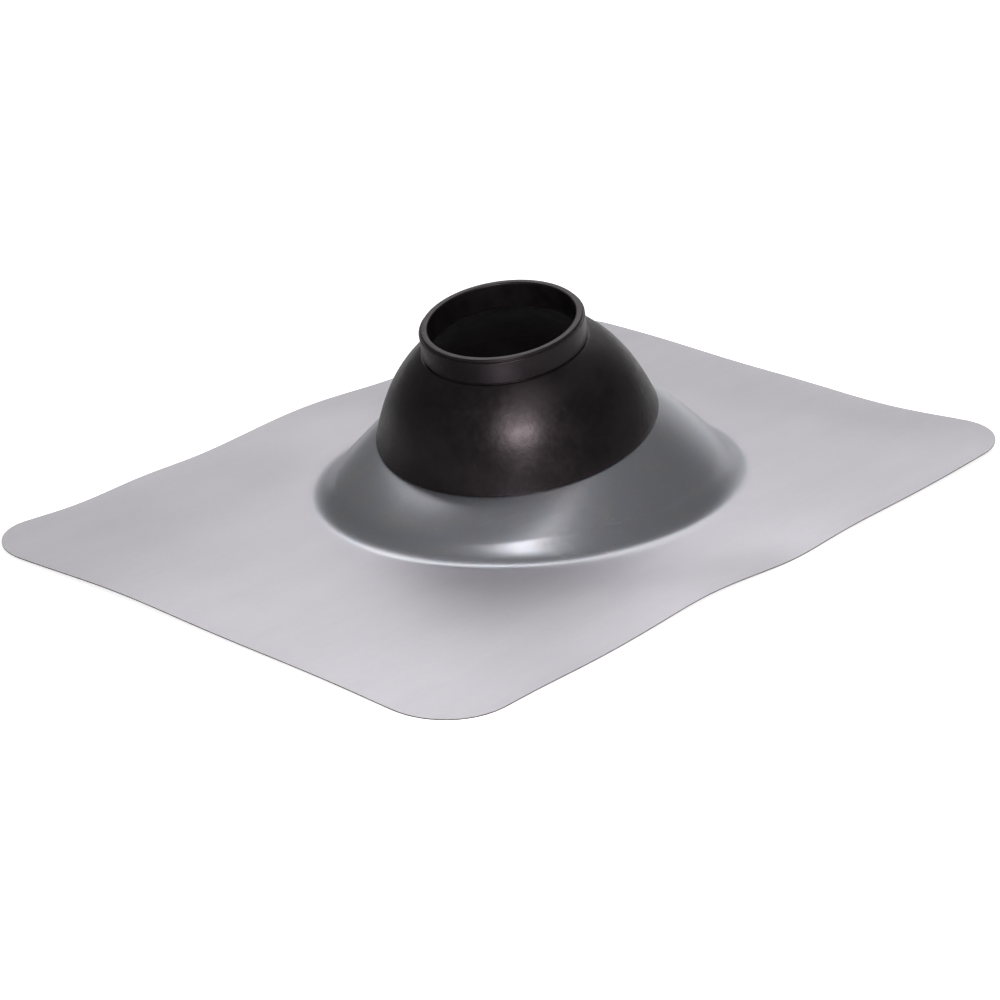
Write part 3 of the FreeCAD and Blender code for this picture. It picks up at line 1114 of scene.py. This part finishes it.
@dataclass(frozen=True)
class Floor:
    """A plain pale floor that keeps the object's shadow.

    It glows for the camera, which sees it white. Metal and glass mirror only a share of that glow, and
    only on the eave side: it rises from none at near_edge to that share at far_edge and beyond.
    """

    half: float = 4.0
    grey: Colour = (0.8, 0.8, 0.8, 1.0)
    glow: float = 0.8
    mirrored: float = 0.6
    near_edge: float = 0.15
    far_edge: float = 0.45

    def build(self) -> None:
        half = self.half
        corners = np.array([[-half, -half, 0.0], [half, -half, 0.0], [half, half, 0.0], [-half, half, 0.0]])
        floor = make_piece("floor", corners, np.array([[0, 1, 2, 3]]))
        material = bpy.data.materials.new("floor")
        material.use_nodes = True
        nodes = Nodes(material.node_tree)
        seen = nodes.add("LightPath")
        place = nodes.add("SeparateXYZ", {0: nodes.add("TexCoord").outputs["Object"]})
        eave_side = nodes.ranged(place.outputs["X"], self.near_edge, self.far_edge, 0.0, self.mirrored)
        mirrored = nodes.maths("MULTIPLY", reflected(nodes, seen), eave_side)
        direct = nodes.maths("MAXIMUM", seen.outputs["Is Camera Ray"], mirrored)
        strength = nodes.maths("MULTIPLY", direct, self.glow)
        glow = nodes.add("Emission", {"Color": WHITE, "Strength": strength})
        matt = nodes.add("BsdfDiffuse", {"Color": self.grey})
        both = nodes.add("AddShader", {0: glow.outputs[0], 1: matt.outputs[0]})
        nodes.add("OutputMaterial", {"Surface": both.outputs[0]})
        floor.data.materials.append(material)
        floor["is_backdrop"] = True


@dataclass(frozen=True)
class Room:
    """A bright sweep behind the object in a dimmer room; the camera sees plain white all round.

    The sweep's middle stands sweep_turn round from the camera. A direction whose cosine with it is under
    sweep_edge is outside the sweep, and one over sweep_middle fully inside. The world's strength is dim
    outside and bright inside. Metal and glass mirror the sweep as white, but as low_white near the floor;
    low and high are the sines of the elevations between which that changes.
    """

    sweep_turn: float = 172.0
    sweep_elevation: float = 12.0
    sweep_edge: float = 0.76
    sweep_middle: float = 0.97
    dim: float = 0.14
    bright: float = 0.55
    low: float = 0.2
    high: float = 0.5
    low_white: float = 0.5

    def build(self, azimuth: float) -> None:
        """Make the world.

        Args:
            azimuth: where the camera stands.
        """
        world = bpy.data.worlds.new("studio")
        world.use_nodes = True
        bpy.context.scene.world = world
        nodes = Nodes(world.node_tree)
        way = nodes.add("TexCoord").outputs["Generated"]
        sweep = tuple(direction(azimuth + self.sweep_turn, self.sweep_elevation))
        toward = nodes.add("VectorMath", {0: way, 1: sweep}, operation="DOT_PRODUCT").outputs["Value"]
        seen = nodes.add("LightPath")
        height = nodes.add("SeparateXYZ", {0: way}).outputs["Z"]
        raised = nodes.ranged(height, self.low, self.high, self.low_white, 1.0)
        behind = nodes.maths("MULTIPLY", nodes.ranged(toward, self.sweep_edge, self.sweep_middle), raised)
        mirrored = nodes.maths("MULTIPLY", reflected(nodes, seen), behind)
        white = nodes.maths("MAXIMUM", mirrored, seen.outputs["Is Camera Ray"])
        lit = nodes.ranged(toward, self.sweep_edge, self.sweep_middle, self.dim, self.bright)
        glow = nodes.add("Background", {"Color": WHITE, "Strength": nodes.maths("MAXIMUM", lit, white)})
        nodes.add("OutputWorld", {"Surface": glow.outputs[0]})


@dataclass(frozen=True)
class Lamp:
    """A soft rectangular lamp: where it stands, in degrees and metres, its size and its power."""

    name: str
    azimuth: float
    elevation: float
    distance: float
    width: float
    height: float
    watts: float


@dataclass(frozen=True)
class Studio:
    """The camera and the soft lamps, which all face one target, with the floor and the room.

    The target is given from the middle of the flange's flat.
    """

    ground: float
    target: Triple = (-7.54 * MM, 4.53 * MM, -6.55 * MM)
    azimuth: float = -49.08
    elevation: float = 22.61
    distance: float = 1.9492
    lens: float = 124.55
    sensor: float = 36.0
    clip_near: float = 0.05
    clip_far: float = 30.0
    lamps: tuple[Lamp, ...] = (
        Lamp("key_softbox", -49.0, 31.0, 1.2, 0.34, 0.34, 11.0),
        Lamp("top_softbox", -34.0, 57.0, 1.2, 0.30, 0.26, 0.82),
        Lamp("back_softbox", 124.0, 51.0, 1.5, 1.35, 0.80, 6.3),
        Lamp("high_softbox", 129.0, 67.0, 1.5, 0.36, 0.36, 1.2),
    )

    def aim(self, thing: bpy.types.Object, azimuth: float, elevation: float, distance: float) -> None:
        """Link a camera or lamp, stand it off the target and turn it to face it.

        Args:
            thing: the camera or lamp.
            azimuth: where it stands round the object, in degrees.
            elevation: how high it stands, in degrees.
            distance: how far from the target.
        """
        away = Vector(direction(azimuth, elevation))
        target = Vector((self.target[0], self.target[1], self.ground + self.target[2]))
        thing.location = target + away * distance
        thing.rotation_mode = "QUATERNION"
        thing.rotation_quaternion = (-away).to_track_quat("-Z", "Y")
        bpy.context.scene.collection.objects.link(thing)

    def camera(self) -> None:
        """Stand the camera off the target and make it the scene's."""
        data = bpy.data.cameras.new("camera")
        data.lens, data.sensor_width = self.lens, self.sensor
        data.clip_start, data.clip_end = self.clip_near, self.clip_far
        camera = bpy.data.objects.new("camera", data)
        self.aim(camera, self.azimuth, self.elevation, self.distance)
        bpy.context.scene.camera = camera

    def light(self) -> None:
        """Add the soft lamps."""
        for lamp in self.lamps:
            data = bpy.data.lights.new(lamp.name, "AREA")
            data.shape, data.size, data.size_y = "RECTANGLE", lamp.width, lamp.height
            data.energy = lamp.watts
            self.aim(bpy.data.objects.new(lamp.name, data), lamp.azimuth, lamp.elevation, lamp.distance)

    def build(self) -> None:
        """Set up everything round the object, and the plain view transform."""
        Floor().build()
        self.light()
        Room().build(self.azimuth)
        self.camera()
        bpy.context.scene.view_settings.view_transform = "Standard"


def main() -> None:
    """Load the frame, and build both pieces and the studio."""
    logging.basicConfig(level=logging.INFO, format="%(message)s")
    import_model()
    low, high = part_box("base_sheet")
    rubber_low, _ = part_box("rubber_boot")
    rim = Rim()
    boot = RubberBoot(rim)
    ground = boot.flange_level(rubber_low.z)
    sheet = BaseSheet(rim, ground, high.x - low.x, high.y - low.y)
    effects = Effects()
    for piece in (sheet.build(effects), boot.build(effects, ground)):
        LOG.info("%s: %d points, %d faces", piece.name, len(piece.data.vertices), len(piece.data.polygons))
    Studio(ground).build()
    low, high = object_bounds()


if __name__ == "__main__":
    main()
